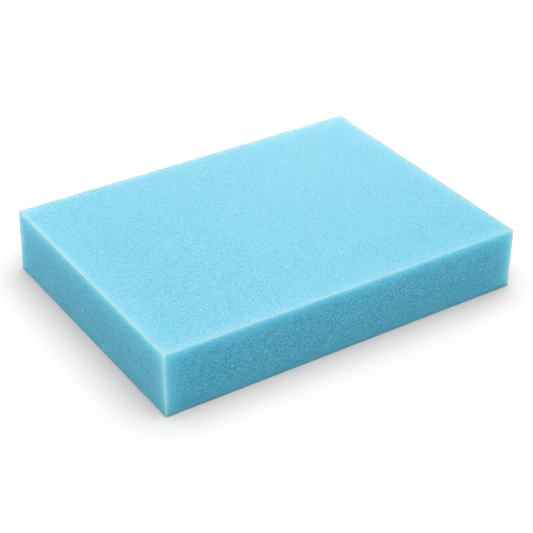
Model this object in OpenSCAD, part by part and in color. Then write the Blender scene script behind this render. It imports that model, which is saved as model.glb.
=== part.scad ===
// Foam sheet: a rectangular pad cut from a block of open-cell foam.
// It lies flat, with its length along X, its width along Y and its thickness along Z.
// The origin is the middle of the face that it rests on.

/* [Sheet] */
// Length of the sheet, along X
sheet_length = 148; // [60:1:600]
// Width of the sheet, along Y
sheet_width = 110; // [40:1:400]
// Thickness of the sheet, along Z
sheet_thickness = 25.4; // [5:0.1:100]

/* [Edges] */
// Radius that the cut edges and corners relax to
edge_radius = 0.6; // [0.2:0.1:2]

/* [Hidden] */
// Light cyan-blue of the dyed foam
foam_colour = [0.57, 0.85, 0.94];
// Facets round each edge in the preview
$fn = 32;

// Block that stands on Z = 0, centred on X and Y, with all its edges and corners
// rounded to one radius. The flat faces are three crossed slabs, each of full size
// along one axis only, the edges are cylinders between them, and the corners are balls.
module rounded_block(length, width, height, radius) {
    core = [length - 2 * radius, width - 2 * radius, height - 2 * radius];
    translate([0, 0, height / 2]) {
        cube([length, core.y, core.z], center = true);
        cube([core.x, width, core.z], center = true);
        cube([core.x, core.y, height], center = true);
        edges_along_x(core, radius);
        edges_along_y(core, radius);
        edges_along_z(core, radius);
        corners(core, radius);
    }
}

// The four rounded edges that run along X
module edges_along_x(core, radius) {
    for (y = [-1, 1], z = [-1, 1])
        translate([0, y * core.y / 2, z * core.z / 2])
            rotate([0, 90, 0])
                cylinder(h = core.x, r = radius, center = true);
}

// The four rounded edges that run along Y
module edges_along_y(core, radius) {
    for (x = [-1, 1], z = [-1, 1])
        translate([x * core.x / 2, 0, z * core.z / 2])
            rotate([90, 0, 0])
                cylinder(h = core.y, r = radius, center = true);
}

// The four rounded edges that stand upright
module edges_along_z(core, radius) {
    for (x = [-1, 1], y = [-1, 1])
        translate([x * core.x / 2, y * core.y / 2, 0])
            cylinder(h = core.z, r = radius, center = true);
}

// The eight rounded corners
module corners(core, radius) {
    for (x = [-1, 1], y = [-1, 1], z = [-1, 1])
        translate([x * core.x / 2, y * core.y / 2, z * core.z / 2])
            sphere(r = radius);
}

// The whole sheet: one solid piece of foam
module foam_sheet() {
    color(foam_colour)
        rounded_block(sheet_length, sheet_width, sheet_thickness, edge_radius);
}

foam_sheet();
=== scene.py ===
# %% [markdown]
# # A sheet of open-cell foam
# The object is one rectangular slab of light blue polyurethane foam, cut square from a
# larger block. Nothing is fastened to it and nothing moves, so there is a single piece to
# model. Its looks come from three things: crisp edges that a blade has left very slightly
# uneven, a fine even pattern of open cells on every face, and the pale glow along the edges,
# where light enters from two sides and leaves again before the dye can take its red away.
#
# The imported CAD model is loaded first. It is the frame: it says how big the sheet is and
# where it lies, and everything below is placed from it.
# %% Load the frame
import math

import bmesh
import bpy
from mathutils import Matrix, Vector


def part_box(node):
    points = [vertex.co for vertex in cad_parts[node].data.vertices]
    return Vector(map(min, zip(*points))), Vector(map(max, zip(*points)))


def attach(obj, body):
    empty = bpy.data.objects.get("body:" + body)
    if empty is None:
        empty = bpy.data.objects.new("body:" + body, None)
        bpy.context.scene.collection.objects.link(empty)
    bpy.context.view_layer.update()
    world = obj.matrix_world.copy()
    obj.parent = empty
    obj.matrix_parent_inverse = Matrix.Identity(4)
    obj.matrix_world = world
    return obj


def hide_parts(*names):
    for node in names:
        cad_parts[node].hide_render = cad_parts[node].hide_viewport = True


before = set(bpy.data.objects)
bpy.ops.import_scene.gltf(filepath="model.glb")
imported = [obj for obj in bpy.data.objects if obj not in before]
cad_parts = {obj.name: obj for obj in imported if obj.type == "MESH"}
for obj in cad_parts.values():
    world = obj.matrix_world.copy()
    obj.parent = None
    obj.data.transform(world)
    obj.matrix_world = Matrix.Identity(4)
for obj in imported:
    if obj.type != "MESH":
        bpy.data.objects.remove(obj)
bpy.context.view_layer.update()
MM = 0.001
sheet_low, sheet_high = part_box("foam_sheet")
sheet_size = sheet_high - sheet_low
sheet_centre = (sheet_low + sheet_high) / 2
print("sheet size in mm:", [round(s / MM, 2) for s in sheet_size])

# %% [markdown]
# ## The cut block
# A foam sheet is a block with flat faces, so it starts as a cube of exactly the sheet's size.
# Soft foam is hard to cut true: one corner of this sheet has come out half a millimetre
# thinner than the others, and three of its upright edges lean, by up to 0.8 mm. Moving
# the vertices now, while the block has only eight, keeps every face smooth, and the bevel and
# the grid that follow go along with them. The feet stay on the table.
# %% Cut the block a little uneven
# Each corner, by its side in x, y and z, and how far it is out of true, in mm.
OUT_OF_TRUE = {
    (1, -1, 1): (0, 0, -0.5),
    (1, -1, -1): (0.5, 0.6, 0),
    (-1, 1, 1): (0.28, -0.18, 0),
    (-1, 1, -1): (-0.22, 0.14, 0),
    (-1, -1, 1): (-0.22, 0.15, 0),
    (1, 1, 1): (0, 0, -0.12),
}

bpy.ops.object.select_all(action="DESELECT")
bpy.ops.mesh.primitive_cube_add(size=1, location=sheet_centre, scale=sheet_size, calc_uvs=False)
foam = bpy.context.object
foam.name = "cut_foam"
bpy.ops.object.transform_apply(location=True, rotation=True, scale=True)
bpy.ops.object.mode_set(mode="EDIT")
for corner, shift in OUT_OF_TRUE.items():
    bpy.ops.mesh.select_all(action="DESELECT")
    mesh = bmesh.from_edit_mesh(foam.data)
    for vertex in mesh.verts:
        out = vertex.co - sheet_centre
        vertex.select_set(all(out[i] * corner[i] > 0 for i in range(3)))
    bmesh.update_edit_mesh(foam.data)
    bpy.ops.transform.translate(value=Vector(shift) * MM)
    print("corner", corner, "moved by", shift, "mm")

# %% [markdown]
# No cut edge is as sharp as a cube's. On this foam the blade leaves a rounding of about a
# third of a millimetre, which is enough to catch the light in a thin line. Bevelling in four
# segments makes it round, and it is done while there are only twelve edges to bevel.
# %% Bevel the twelve edges
EDGE_ROUND = 0.35 * MM
EDGE_SEGMENTS = 4

bpy.ops.mesh.select_all(action="SELECT")
bpy.ops.mesh.bevel(offset=EDGE_ROUND, segments=EDGE_SEGMENTS, affect="EDGES")
print("bevelled block:", len(bmesh.from_edit_mesh(foam.data).faces), "faces")

# %% [markdown]
# ## A grid to press marks into
# A face with four corners has no vertices with which to show what the blade did. The long
# edges are therefore cut into short ones, one direction at a time, which lays an even grid of
# squares about a millimetre wide over all six faces. Each direction is cut twice, first
# coarsely and then finely, because one subdivide makes at most a hundred cuts.
# Two helpers choose the edges: one selects whatever passes a test, the other makes the test.
# The block is a little uneven, so an edge counts as running along an axis when nearly all of
# its length does.
# %% Cut the long edges into a grid
GRID = 1.04 * MM
NEARLY_ALL = 0.999


def select_edges(wanted):
    """Selects the edges for which wanted(edge) is true, and returns how many there are."""
    mesh = bmesh.from_edit_mesh(foam.data)
    bpy.ops.mesh.select_all(action="DESELECT")
    chosen = [edge for edge in mesh.edges if wanted(edge)]
    for edge in chosen:
        edge.select_set(True)
    bmesh.update_edit_mesh(foam.data)
    return len(chosen)


def runs_along(axis, longer_than):
    """A test for edges that run along one axis and are longer than a given length."""
    def test(edge):
        run = edge.verts[1].co - edge.verts[0].co
        return abs(run[axis]) > max(longer_than, NEARLY_ALL * run.length)
    return test


bpy.ops.mesh.select_mode(type="EDGE")
for axis in range(3):
    steps = round(sheet_size[axis] / GRID)
    coarse = round(math.sqrt(steps))
    fine = round(steps / coarse)
    for pieces in (coarse, fine):
        select_edges(runs_along(axis, 2 * EDGE_ROUND / pieces))
        bpy.ops.mesh.subdivide(number_cuts=pieces - 1)
print("gridded block:", len(bmesh.from_edit_mesh(foam.data).faces), "faces")

# %% [markdown]
# ## A finer band along the edges
# The cells of this foam are a little under a millimetre across. On the wide faces the grid is
# as coarse as that and the material draws the cells, but along the cut edges the outline
# itself is made of broken cells. A narrow band beside each edge therefore gets a grid three
# times as fine, which costs far fewer faces than refining the whole sheet.
# %% Refine a band beside every edge
BAND = 1.1 * MM
BAND_CUTS = 2


def inward(point):
    """How far a point lies inside the three pairs of faces, the smallest distance first."""
    return sorted(sheet_size[i] / 2 - abs(point[i] - sheet_centre[i]) for i in range(3))


def beside_an_edge(edge):
    """True for the grid's own edges in the band, but not for the short ones of the rounding."""
    middle = (edge.verts[0].co + edge.verts[1].co) / 2
    return edge.calc_length() > GRID / 2 and inward(middle)[1] < BAND


refined = select_edges(beside_an_edge)
bpy.ops.mesh.subdivide(number_cuts=BAND_CUTS)
mesh = bmesh.from_edit_mesh(foam.data)
print("refined", refined, "edges:", sum(len(face.verts) - 2 for face in mesh.faces), "triangles")
bpy.ops.object.mode_set(mode="OBJECT")

# %% [markdown]
# ## What the blade left
# Cut foam is never quite flat: the blade pulls the soft block about, and every cell that it
# opens is a small pit. Sculpting could do this, but not the same way twice. Two Displace
# modifiers can, one with a pattern of wide clouds and one with a pattern of cells. Both only
# push inwards, so the sheet keeps its outer size and still lies on the table on its highest
# points, and both are applied, so that the marks are part of the mesh.
# %% Press the blade's waves and the cells into the mesh
WAVE_DEPTH = 0.12 * MM
WAVE_WIDTH = 22 * MM
PIT_DEPTH = 0.06 * MM
PIT_WIDTH = 0.9 * MM
PIT_CONTRAST = 1.2


def press_in(name, kind, depth, **settings):
    """Pushes the surface inwards by up to depth, by a procedural pattern."""
    pattern = bpy.data.textures.new(name, kind)
    for setting, value in settings.items():
        setattr(pattern, setting, value)
    press = foam.modifiers.new(name, "DISPLACE")
    press.texture = pattern
    press.texture_coords = "LOCAL"
    press.strength = depth
    press.mid_level = 1
    bpy.ops.object.modifier_apply(modifier=name)
    print(name, "pressed in up to", round(depth / MM, 2), "mm")


press_in("blade_waves", "CLOUDS", WAVE_DEPTH, noise_scale=WAVE_WIDTH, noise_depth=1)
press_in("opened_cells", "VORONOI", PIT_DEPTH, noise_scale=PIT_WIDTH, noise_intensity=PIT_CONTRAST)
bpy.ops.object.shade_smooth()

# %% [markdown]
# ## Laying the faces out flat
# The finish below needs no map, because it reads the place of each point in the block. A game
# or a viewer needs the finish as a picture, though, and a picture needs a flat layout. A box
# can be laid out with no stretching at all: each face is drawn at its true size, the two wide
# faces in one column and the four narrow ones in strips beside them, a millimetre apart. Each
# rounded edge goes with the face that it leans towards. Packing tools would turn and scale
# the faces as they saw fit, so the layout is given one face at a time.
# %% Lay the six faces out flat
GAP = 1 * MM
length, width, thickness = sheet_size
column = [GAP, length + 2 * GAP]
column += [column[1] + step * (thickness + GAP) for step in (1, 2)]
row = [GAP, width + 2 * GAP]
map_size = column[3] + thickness + GAP

# For the face that looks along (axis, way): its corner, and what runs across and up from there.
LAYOUT = {
    (2, 1): ((column[0], row[0]), (0, 1), (1, 1)),
    (2, -1): ((column[0], row[1]), (0, -1), (1, 1)),
    (1, -1): ((column[1], row[0]), (2, -1), (0, 1)),
    (1, 1): ((column[2], row[0]), (2, 1), (0, 1)),
    (0, -1): ((column[3], row[0]), (2, 1), (1, 1)),
    (0, 1): ((column[3], row[1]), (2, -1), (1, 1)),
}


def way_along(point, axis, way):
    """How far a point is along an axis, from the sheet's low side, or from its high side."""
    return point[axis] - sheet_low[axis] if way > 0 else sheet_high[axis] - point[axis]


flat_map = foam.data.uv_layers.new(name="OFBake")
for face in foam.data.polygons:
    axis = max(range(3), key=lambda i: abs(face.normal[i]))
    corner, across, up = LAYOUT[axis, 1 if face.normal[axis] > 0 else -1]
    for loop in face.loop_indices:
        point = foam.data.vertices[foam.data.loops[loop].vertex_index].co
        spot = corner[0] + way_along(point, *across), corner[1] + way_along(point, *up)
        flat_map.uv[loop].vector = Vector(spot) / map_size
print("flat map is", round(map_size / MM, 1), "mm across, on", len(flat_map.uv), "corners")

# %% [markdown]
# ## Shader maths
# The foam's finish is worked out from plain arithmetic on distances, so a small class lets
# that arithmetic be written as ordinary expressions. Each expression adds the Math nodes that
# a person would otherwise wire by hand, and a second class adds every other kind of node.
# %% A short way to write shader maths


class Wire:
    """A value on its way between shader nodes. Arithmetic on it adds Math nodes."""

    def __init__(self, shader, socket):
        self.shader = shader
        self.socket = socket

    def math(self, operation, *values):
        """The result of a Math node whose first value is this one."""
        return self.shader.maths(operation, self, *values)

    def __add__(self, other):
        return self.math("ADD", other)

    def __sub__(self, other):
        return self.math("SUBTRACT", other)

    def __rsub__(self, other):
        return self.shader.maths("SUBTRACT", other, self)

    def __mul__(self, other):
        return self.math("MULTIPLY", other)

    def __abs__(self):
        return self.math("ABSOLUTE")

    __radd__ = __add__
    __rmul__ = __mul__


# %% A short way to add shader nodes


class Shader:
    """A new material, with one method that adds any kind of node to it."""

    def __init__(self, name):
        self.material = bpy.data.materials.new(name)
        self.material.use_nodes = True
        self.tree = self.material.node_tree
        self.surface = self.tree.nodes["Principled BSDF"]

    def feed(self, socket, value):
        """Links a wire to a socket, or sets a plain value on it."""
        if isinstance(value, Wire):
            self.tree.links.new(value.socket, socket)
        else:
            socket.default_value = value

    def node(self, kind, settings, inputs, output=0):
        """Adds a node: its settings first, then what its sockets take. Returns one output."""
        made = self.tree.nodes.new("ShaderNode" + kind)
        for name, value in settings.items():
            setattr(made, name, value)
        for name, value in inputs.items():
            self.feed(made.inputs[name], value)
        return Wire(self, made.outputs[output])

    def maths(self, operation, *values):
        """A Math node, which works on numbers only."""
        return self.node("Math", {"operation": operation}, dict(enumerate(values)))

    def mix(self, factor, first, second):
        """Goes from the first colour to the second while the factor goes from 0 to 1."""
        return self.node("Mix", {"data_type": "RGBA"}, {0: factor, 6: first, 7: second}, output=2)

    def ramp(self, value, start, end, shape="SMOOTHSTEP"):
        """Goes from 0 to 1 while value goes from start to end."""
        inputs = {"Value": value, 1: start, 2: end}
        return self.node("MapRange", {"interpolation_type": shape}, inputs)

    def finish(self, inputs):
        """Feeds the surface's own sockets and hands the material over."""
        for name, value in inputs.items():
            self.feed(self.surface.inputs[name], value)
        print(self.material.name, "has", len(self.tree.nodes), "nodes")
        return self.material


# %% [markdown]
# ## The foam
# Where on the sheet a point lies is worked out first, in millimetres: how far it is inside
# each pair of faces, whether it is on a cut side rather than on a wide face, and how near it
# is to an edge. Object coordinates are used because they stay with the foam and run on
# through it, so that the pattern turns a corner without a seam, as real cells do. One face's
# look gives way to the next one's within half a millimetre of the edge between them.
# %% Places on the sheet
FACE_TURN = 0.5


def places(shader):
    """A point's place in mm: as a vector, along each axis, and inwards from each pair of faces."""
    place = shader.node("TexCoord", {}, {}, output="Object")
    vector = shader.node("VectorMath", {"operation": "SCALE"}, {0: place, "Scale": 1 / MM})
    each = [shader.node("SeparateXYZ", {}, {0: vector}, output=axis) for axis in range(3)]
    inside = [sheet_size[i] / MM / 2 - abs(each[i] - sheet_centre[i] / MM) for i in range(3)]
    return vector, each, inside


look = Shader("blue_foam")
in_mm, along, depth = places(look)
near_side = look.maths("MINIMUM", depth[0], depth[1])
far_side = look.maths("MAXIMUM", depth[0], depth[1])
on_side = look.ramp(depth[2] - near_side, -FACE_TURN, FACE_TURN)
on_end = look.ramp(depth[1] - depth[0], -FACE_TURN, FACE_TURN)
from_top = sheet_high.z / MM - along[2]
from_table = along[2] - sheet_low.z / MM


def by_face(top, side):
    """One number on the top and the underside, and another on the four cut sides."""
    return top + (side - top) * on_side


print("places on the sheet take", len(look.tree.nodes), "nodes")

# %% [markdown]
# The edges of the real sheet are paler than its faces. Light that enters beside an edge soon
# leaves again through the other face, so it has met less dye. Red is what this dye takes
# first, so the pale line in red is narrow, while green and blue reach several millimetres in.
# Full subsurface scattering with its own colours for depth would give this only in a slow
# render and would be lost in a baked picture, so it is painted from the distances instead.
# Each glow falls off as an exponential, and where two edges meet, both glows count. A thin
# painted highlight runs on top along each upright edge. A last, low glow of painted light
# lies along the foot, for the light that it takes up from the white table. Towards the foot
# the bright lines on the upright edges grow duller, down to half.
# %% Glow along the edges
# How far each glow reaches, in mm.
WIDE_REACH = 3.5
NARROW_REACH = 1.1
THREAD_REACH = 0.36
FOOT_REACH = 2.4
DULL_REACH = 5
# How strong the painted highlight along an upright edge is, and how much of it the foot loses.
THREAD = 0.27
DULLER = 0.5


def falling(distance, reach):
    """1 where the distance is 0, and falling away over a few times the reach, in mm."""
    return (distance * (-1 / reach)).math("EXPONENT").math("MINIMUM", 1)


def edge_glow(reach, rim, corner):
    """The glow of the top rim and of the upright corners together, each with its strength."""
    rim_light = rim * falling(look.maths("MAXIMUM", near_side, from_top), reach)
    corner_light = corner * falling(far_side, reach)
    return 1 - (1 - rim_light) * (1 - corner_light)


above_foot = 1 - DULLER * falling(from_table, DULL_REACH)
wide_glow = edge_glow(
    WIDE_REACH,
    rim=by_face(top=0.5, side=0.75),
    corner=by_face(top=0.5, side=1),
)
narrow_glow = edge_glow(
    NARROW_REACH,
    rim=by_face(top=0.2, side=0.26),
    corner=above_foot * by_face(top=0.2, side=0.3),
)
# A painted highlight along each upright edge.
upright_highlight = THREAD * above_foot * falling(far_side, THREAD_REACH)
# Painted light from the white table, along the foot of the cut sides.
foot_glow = on_side * falling(from_table, FOOT_REACH)
print("with the glows there are", len(look.tree.nodes), "nodes")

# %% [markdown]
# ## The pattern of cells
# A cut through open-cell foam shows round windows with thin pale walls, and here and there a
# deeper cell that is dark. A Voronoi pattern is the obvious start, because foam cells grow as
# its cells do. Two sizes are used: the small one gives the fine grain of windows, and of the
# larger one about one cell in seven is taken, by its random number, as a deep cell. A soft
# noise, much larger than both, keeps the grain from looking printed.
# %% The pattern of cells
# The sizes of the deep cells and of the small windows, in mm, and the mottle's scale, per mm.
CELL = 0.75
WINDOW = 0.46
MOTTLE_SCALE = 0.35
# A cell starts to be deep below the first chance, and is fully so below the second.
DEEP_CHANCE = (0.18, 0.1)
# From its middle, in cell sizes: where a deep cell begins, and where it is fully dark.
DEEP_RIM = (0.5, 0.2)


def cells(size, output):
    """A Voronoi pattern in three dimensions, with cells of a given size in mm."""
    settings = {"feature": "F1", "voronoi_dimensions": "3D"}
    return look.node("TexVoronoi", settings, {"Vector": in_mm, "Scale": 1 / size}, output)


cell_chance = look.node("SeparateColor", {}, {0: cells(CELL, "Color")}, output=0)
from_cell_middle = cells(CELL, "Distance")
deep_cell = look.ramp(cell_chance, *DEEP_CHANCE) * look.ramp(from_cell_middle, *DEEP_RIM)
window = cells(WINDOW, "Distance")
mottle = look.node("TexNoise", {}, {"Vector": in_mm, "Scale": MOTTLE_SCALE, "Detail": 1.0}) - 0.5
print("with the cells there are", len(look.tree.nodes), "nodes")

# %% [markdown]
# The pattern becomes one number for each point, its tone, from 0 in the darkest cell to 1 on
# the palest wall. A block doesn't foam the same all through: on this sheet's wide faces the
# cells are bold along the front and get more even towards the back, so there the tone is
# drawn in towards the middle.
# %% From cells to tones
BASE_TONE = 0.55
WINDOW_CONTRAST = 1.6
EVENNESS = 0.34

tone = BASE_TONE + WINDOW_CONTRAST * (window - 0.5) - deep_cell
tone = look.ramp(tone + by_face(top=0.05, side=0.2) * mottle, 0, 1, shape="LINEAR")
half_width = sheet_size.y / MM / 2
backwards = look.ramp(along[1], -half_width, half_width, shape="LINEAR")
boldness = 1 - EVENNESS * (1 - on_side) * backwards
tone = 0.5 + (tone - 0.5) * boldness
print("with the tones there are", len(look.tree.nodes), "nodes")

# %% [markdown]
# ## Colour
# Each face has one blue and a contrast, which gives its darkest and its palest tone. The
# contrast is strongest in red, because a deep cell has more dyed foam in front of it and red
# is what the dye takes. The cut sides are painted darker and deeper in colour than the wide
# faces, as painted shade on top of what the lamps give, and their stronger contrast is partly
# painted shade in cells that the light skims. The two ends are painted a little darker still,
# also as painted shade, and their painted glow along the edges is brighter than on the long
# sides. The glows are laid over the cells as paler blues, from the widest to the narrowest.
# %% Blues of the foam
TOP_BLUE = (0.168, 0.611, 0.786)
TOP_CONTRAST = (0.73, 0.115, 0.058)
TOP_WIDE = (0.35, 0.67, 0.84, 1)
# The cut sides and the ends are painted darker than the top, as painted shade.
SHADED_SIDE_BLUE = (0.069, 0.452, 0.648)
SIDE_CONTRAST = (1.0, 0.30, 0.19)
SIDE_WIDE = (0.127, 0.66, 0.87, 1)
SHADED_END_BLUE = (0.055, 0.438, 0.643)
END_WIDE = (0.14, 0.72, 0.95, 1)
# The last three are colours of painted light: along the foot, along every edge and, as a painted
# highlight, along the upright edges.
FOOT_PALE = (0.09, 0.61, 1.0, 1)
EDGE_PALE = (0.72, 0.73, 0.86, 1)
HIGHLIGHT_PALE = (0.8, 0.95, 1.0, 1)


def tones(colour, contrast, way):
    """The colour's darkest tone, way -1, or its palest, way 1."""
    return tuple(c * (1 + way * k) for c, k in zip(colour, contrast)) + (1,)


def face_tones(way):
    """The tone that each point's own face has, out of top, long side and end."""
    long_side = tones(SHADED_SIDE_BLUE, SIDE_CONTRAST, way)
    cut = look.mix(on_end, long_side, tones(SHADED_END_BLUE, SIDE_CONTRAST, way))
    return look.mix(on_side, tones(TOP_BLUE, TOP_CONTRAST, way), cut)


# The tones of the sides and the ends carry painted shade.
colour = look.mix(tone, face_tones(-1), face_tones(1))
cut_wide = look.mix(on_end, SIDE_WIDE, END_WIDE)
# The painted glows and the painted highlight go over the cells.
colour = look.mix(wide_glow, colour, look.mix(on_side, TOP_WIDE, cut_wide))
colour = look.mix(foot_glow, colour, FOOT_PALE)
colour = look.mix(narrow_glow, colour, EDGE_PALE)
colour = look.mix(upright_highlight, colour, HIGHLIGHT_PALE)
print("with the colours there are", len(look.tree.nodes), "nodes")

# %% [markdown]
# ## Relief and finish
# The surface is matt, with a little sheen from the broken cell walls, and the palest walls are
# a touch smoother than the cells. Subsurface scattering over about a centimetre softens all
# shading, as foam does. The grain is also a faint relief, so that it shows in light that skims
# the surface. Light that bounces off the foam would tint the white table more than the real
# sheet does, so the foam is left out of that.
# %% Finish of the foam
# How much the windows and the deep cells stand out in relief, as shares of a millimetre, and
# how much smoother the palest tone is than the darkest.
WINDOW_RELIEF = 0.15
DEEP_RELIEF = 0.1
SMOOTHER = 0.2
SCATTERING = 12 * MM

relief = WINDOW_RELIEF * window - DEEP_RELIEF * deep_cell
bump = look.node("Bump", {}, {"Strength": 1.0, "Distance": MM, "Height": relief})
foam.data.materials.append(look.finish({
    "Base Color": colour,
    "Normal": bump,
    "Roughness": by_face(top=0.6, side=0.85) - SMOOTHER * tone,
    "Specular IOR Level": 0.5,
    "Sheen Weight": 0.2,
    "Sheen Roughness": 0.4,
    "Subsurface Weight": 1.0,
    "Subsurface Radius": (1, 1, 1),
    "Subsurface Scale": SCATTERING,
}))
foam.visible_diffuse = False

# %% [markdown]
# ## The table
# The sheet lies on a plain white table that runs on out of sight. A plane is all it needs. It
# is so large that its far rim lies near the horizon. The white takes on a little blue from
# the foam in the first few millimetres beside the foot. The foam's own bounced light would
# spread that tint too wide, so it is mixed into the table's white instead, by the distance
# from the sheet.
# %% The white table
TABLE_SIZE = 60.0
TABLE_WHITE = 0.9
BLUISH_WHITE = (0.85, 0.912, 0.94, 1)
TINT_REACH = 1.8

bpy.ops.mesh.primitive_plane_add(size=TABLE_SIZE, location=(0, 0, sheet_low.z))
table = bpy.context.object
table.name = "white_table"
table_look = Shader("table_white")
table_depth = places(table_look)[2]
from_sheet = -1 * table_look.maths("MINIMUM", table_depth[0], table_depth[1])
plain_white = (TABLE_WHITE, TABLE_WHITE, TABLE_WHITE, 1)
table.data.materials.append(table_look.finish({
    "Base Color": table_look.mix(falling(from_sheet, TINT_REACH), plain_white, BLUISH_WHITE),
    "Roughness": 1.0,
    "Specular IOR Level": 0.0,
}))

# %% [markdown]
# Behind the table the world is the same white. It is seen by the camera only, so that all the
# light on the foam comes from the lamps.
# %% The white behind the table
WORLD_WHITE = 0.98

world = bpy.data.worlds.new("studio")
bpy.context.scene.world = world
world.use_nodes = True
backdrop = world.node_tree.nodes["Background"].inputs
backdrop["Color"].default_value = (1, 1, 1, 1)
backdrop["Strength"].default_value = WORLD_WHITE
for ray in ("diffuse", "glossy", "transmission", "scatter"):
    setattr(world.cycles_visibility, ray, False)
print("the world's white is", WORLD_WHITE, "and the table's is", TABLE_WHITE)

# %% [markdown]
# ## Hanging a lamp
# Every lamp here is hung in the same way: at a place, with its face turned along a direction.
# The foam is left out of diffuse bounces, so light that is found by a bounce would reach the
# table straight through it. Switching off multiple importance sampling leaves the lamps to
# shadow rays alone, and those do stop at the foam.
# %% A way to hang lamps


def add_lamp(name, light, position, aimed_along):
    """Hangs a lamp at a position, facing back along a direction."""
    light.cycles.use_multiple_importance_sampling = False
    lamp = bpy.data.objects.new(name, light)
    bpy.context.scene.collection.objects.link(lamp)
    lamp.location = position
    lamp.rotation_euler = aimed_along.to_track_quat("Z", "Y").to_euler()
    return lamp


def direction(azimuth, elevation):
    """The direction from the sheet to an azimuth, 0 in front, and an elevation, in degrees."""
    a, e = math.radians(azimuth), math.radians(elevation)
    return Vector((math.sin(a) * math.cos(e), -math.cos(a) * math.cos(e), math.sin(e)))


# %% [markdown]
# ## The overhead light
# A product is lit on a white table by one very large softbox above it. A sun lamp with a wide
# angle does the same and lights the whole table evenly, however large it is. The width of its
# disc sets how far the soft shadow reaches from the foot of the sheet, and its strength makes
# the table just short of pure white. A second, weak one comes in low from the left and lifts
# the left side, which would otherwise be as dark as the front.
# %% The overhead light
OVERHEAD_WHITE = 0.96


def soft_sun(name, azimuth, elevation, width, strength):
    """A distant light of a given angular width, shining from azimuth and elevation."""
    light = bpy.data.lights.new(name, "SUN")
    light.angle = math.radians(width)
    light.energy = strength
    towards = direction(azimuth, elevation)
    return add_lamp(name, light, sheet_centre + towards, towards)


overhead = math.pi * OVERHEAD_WHITE / TABLE_WHITE
soft_sun("overhead_softbox", azimuth=0, elevation=84.7, width=80, strength=overhead)
soft_sun("left_fill", azimuth=-100, elevation=10, width=40, strength=0.34)
print("overhead light:", round(overhead, 3), "W per square metre")

# %% [markdown]
# ## Lamps that light one object
# A lamp that is set up for the foam would burn out the table, and one that thins out the
# table's shadow would burn out the foam's edges. In a studio black cards keep the light of
# each lamp off what it isn't for. Light linking does the same here: a lamp's receiver
# collection lists the only objects that it lights.
# %% A square softbox for one object


def softbox(name, position, size, radiance, lights):
    """A square softbox at a position, in mm, that faces the sheet and lights one object."""
    light = bpy.data.lights.new(name, "AREA")
    light.shape = "SQUARE"
    light.size = size * MM
    light.energy = radiance * math.pi * light.size ** 2
    stand = Vector(position) * MM
    lamp = add_lamp(name, light, stand, stand - sheet_centre)
    lamp.visible_camera = False
    lamp.light_linking.receiver_collection = lights
    print(name, "stands", round((stand - sheet_centre).length / MM), "mm away")
    return lamp


sheet_only = bpy.data.collections.new("sheet_only")
sheet_only.objects.link(foam)
table_only = bpy.data.collections.new("table_only")
table_only.objects.link(table)

# %% [markdown]
# ## Softboxes beside the sheet
# Two softboxes stand low behind the sheet and skim its top, which is what makes the far end
# of the top look pale and a little dusty. That paleness is a reflection and holds no blue, so
# these two are kept out of the diffuse light. Two more stand off its right front corner and
# its left back corner, and brighten the sides that meet there. The last four stand round the
# table and thin out the soft shadow that the overhead light leaves on it, behind the sheet,
# at its two ends and at its front corner.
# %% Softboxes beside the sheet
# For each softbox: where it stands and how wide it is, in mm, and how bright its face is.
SKIMMING_SOFTBOXES = {
    "skimming_softbox": ((220, 285, 60), 220, 4.3),
    "left_skimming_softbox": ((-10, 205, 60), 120, 1.8),
}
SHEET_SOFTBOXES = {
    "right_softbox": ((194, -205, 110), 100, 0.55),
    "left_end_softbox": ((-120, 200, 30), 100, 1.4),
}
TABLE_SOFTBOXES = {
    "far_softbox": ((110, 290, 150), 250, 0.8),
    "right_end_softbox": ((230, 40, 90), 120, 1.35),
    "left_table_softbox": ((-200, 110, 70), 120, 0.45),
    "front_table_softbox": ((-120, -220, 100), 120, 0.4),
}

for name, settings in SKIMMING_SOFTBOXES.items():
    softbox(name, *settings, lights=sheet_only).visible_diffuse = False
for name, settings in SHEET_SOFTBOXES.items():
    softbox(name, *settings, lights=sheet_only)
for name, settings in TABLE_SOFTBOXES.items():
    softbox(name, *settings, lights=table_only)

# %% [markdown]
# ## Light from the table
# The lowest millimetres of the real sheet are not as dark as a block's would be: some light
# goes down through the foam, meets the white table and comes back up. That path is hard to
# follow from below, where the sheet and the table touch, so one weak lamp stands in for it
# and shines straight up into the underside. Its blocker collection holds the sheet alone,
# which lets the light through the table, and scattering carries it round to the foot.
# %% Light from the table
bounce = soft_sun("table_bounce", azimuth=0, elevation=-90, width=5, strength=0.42)
bounce.light_linking.receiver_collection = sheet_only
bounce.light_linking.blocker_collection = sheet_only
print("upward light:", round(bounce.data.energy, 3), "W per square metre")

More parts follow.
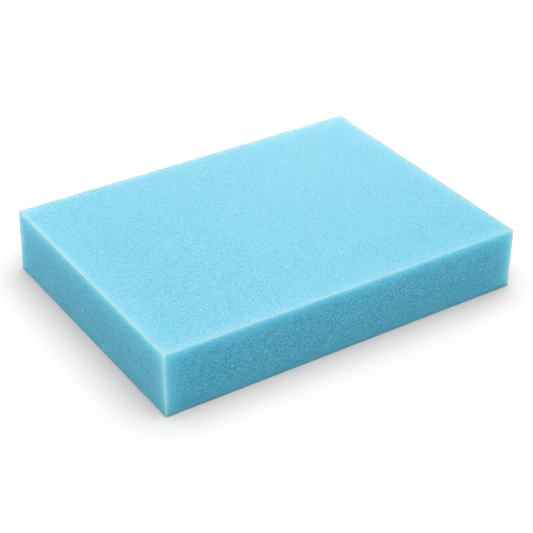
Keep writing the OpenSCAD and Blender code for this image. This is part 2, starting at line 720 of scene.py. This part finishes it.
# %% [markdown]
# ## The camera
# The sheet is seen from its front left, from about 32 degrees above the table, through a long
# lens, which keeps its edges close to parallel. The camera is placed by how it is aimed: a
# direction from the sheet, a distance, and a small step right and up that sets the sheet
# where it belongs in the frame. That needs no shift and no tracking constraint, and the axes
# of the camera can be written straight into its matrix.
# %% The camera
CAMERA_AZIMUTH = -33.20
CAMERA_ELEVATION = 32.41
CAMERA_ROLL = 0.348
CAMERA_DISTANCE = 569.95 * MM
AIM_RIGHT = 1.07 * MM
AIM_UP = -6.67 * MM
LENS = 102.73

back = direction(CAMERA_AZIMUTH, CAMERA_ELEVATION)
level_right = Vector((0, 0, 1)).cross(back).normalized()
roll = Matrix.Rotation(math.radians(CAMERA_ROLL), 3, back)
right = roll @ level_right
up = roll @ back.cross(level_right)
camera_data = bpy.data.cameras.new("camera")
camera_data.lens = LENS
camera = bpy.data.objects.new("camera", camera_data)
bpy.context.scene.collection.objects.link(camera)
placing = Matrix((right, up, back)).transposed().to_4x4()
placing.translation = sheet_centre + back * CAMERA_DISTANCE + right * AIM_RIGHT + up * AIM_UP
camera.matrix_world = placing
bpy.context.scene.camera = camera
print("camera at", [round(c / MM) for c in camera.location], "mm")

# %% [markdown]
# ## Keeping the grain
# The grain of the foam is nearly as fine as the image can hold, and three settings decide
# whether it comes through. The Standard view shows colours as they were mixed, with no film
# curve. A slightly narrow filter keeps neighbouring cells apart. The denoiser usually smooths
# its guide images first, which takes the grain for noise, so that is switched off.
# %% Keep the grain in the render
FILTER_WIDTH = 1.1

bpy.context.scene.view_settings.view_transform = "Standard"
bpy.context.scene.cycles.filter_width = FILTER_WIDTH
bpy.context.scene.cycles.denoising_prefilter = "NONE"
print("filter width:", FILTER_WIDTH)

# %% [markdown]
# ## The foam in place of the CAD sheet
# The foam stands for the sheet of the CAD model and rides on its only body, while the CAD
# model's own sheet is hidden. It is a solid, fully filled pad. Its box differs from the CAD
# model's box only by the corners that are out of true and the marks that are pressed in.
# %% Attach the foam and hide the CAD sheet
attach(foam, "root")
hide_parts("foam_sheet")
